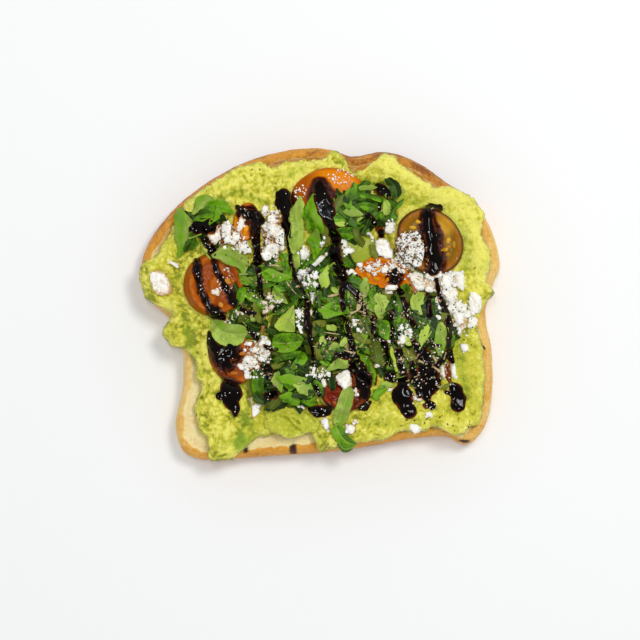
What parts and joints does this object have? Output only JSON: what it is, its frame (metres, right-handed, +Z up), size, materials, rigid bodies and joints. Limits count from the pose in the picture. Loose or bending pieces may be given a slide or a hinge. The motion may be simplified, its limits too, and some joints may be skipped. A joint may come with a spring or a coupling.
{
  "type": "avocado toast",
  "caption": "Slice of sandwich bread spread with mashed avocado and topped with cherry tomato halves, crumbled feta, torn basil and a dark glaze, lying flat.",
  "frame": {"origin": "under the middle of the toast, on the surface that it rests on", "axes": "+X across the slice towards its right ear, +Y towards the crown of the slice, +Z up"},
  "size_m": [0.1224, 0.1066, 0.0259],
  "materials": {
    "toasted_bread": "dry toasted crumb and browned crust",
    "mashed_avocado": "moist, lumpy mash",
    "orange_tomato": "wet cut flesh and smooth skin",
    "brown_tomato": "wet cut flesh and smooth skin",
    "red_tomato": "wet cut flesh and smooth skin",
    "green_tomato": "wet cut flesh",
    "basil": "satin leaf with fine veins",
    "feta": "crumbly, chalky",
    "dark_glaze": "thick glossy syrup",
    "seasoning": "salt, pepper and dried herb flakes"
  },
  "bodies": {
    "root": {"bread_slice": "toasted_bread", "avocado_spread": "mashed_avocado", "avocado_slab_front": "mashed_avocado", "tomato_half_top": "orange_tomato", "tomato_half_right": "brown_tomato", "tomato_half_left": "orange_tomato", "tomato_half_lower_left": "brown_tomato", "tomato_half_front": "red_tomato", "tomato_half_middle": "orange_tomato", "tomato_green_piece": "green_tomato", "tomato_piece_upper_left": "orange_tomato", "basil_heap_upper": "basil", "basil_heap_left": "basil", "basil_heap_middle": "basil", "basil_heap_right": "basil", "basil_heap_front": "basil", "feta_heap_upper_left": "feta", "feta_heap_upper_middle": "feta", "feta_heap_center_right": "feta", "feta_heap_right": "feta", "feta_heap_right_edge": "feta", "feta_heap_lower_left": "feta", "feta_lump_left": "feta", "feta_lump_middle": "feta", "feta_lump_front": "feta", "feta_lump_right": "feta", "basil_leaf_left": "basil", "basil_leaf_upper_left": "basil", "basil_leaf_middle_left": "basil", "basil_leaf_center_pale": "basil", "basil_leaf_center_bright": "basil", "basil_leaf_over_tomato": "basil", "basil_leaf_pale_upper": "basil", "basil_leaf_pale_lower": "basil", "basil_leaf_upper_right": "basil", "basil_leaf_middle": "basil", "basil_ribbon_front": "basil"}
  },
  "joints": []
}
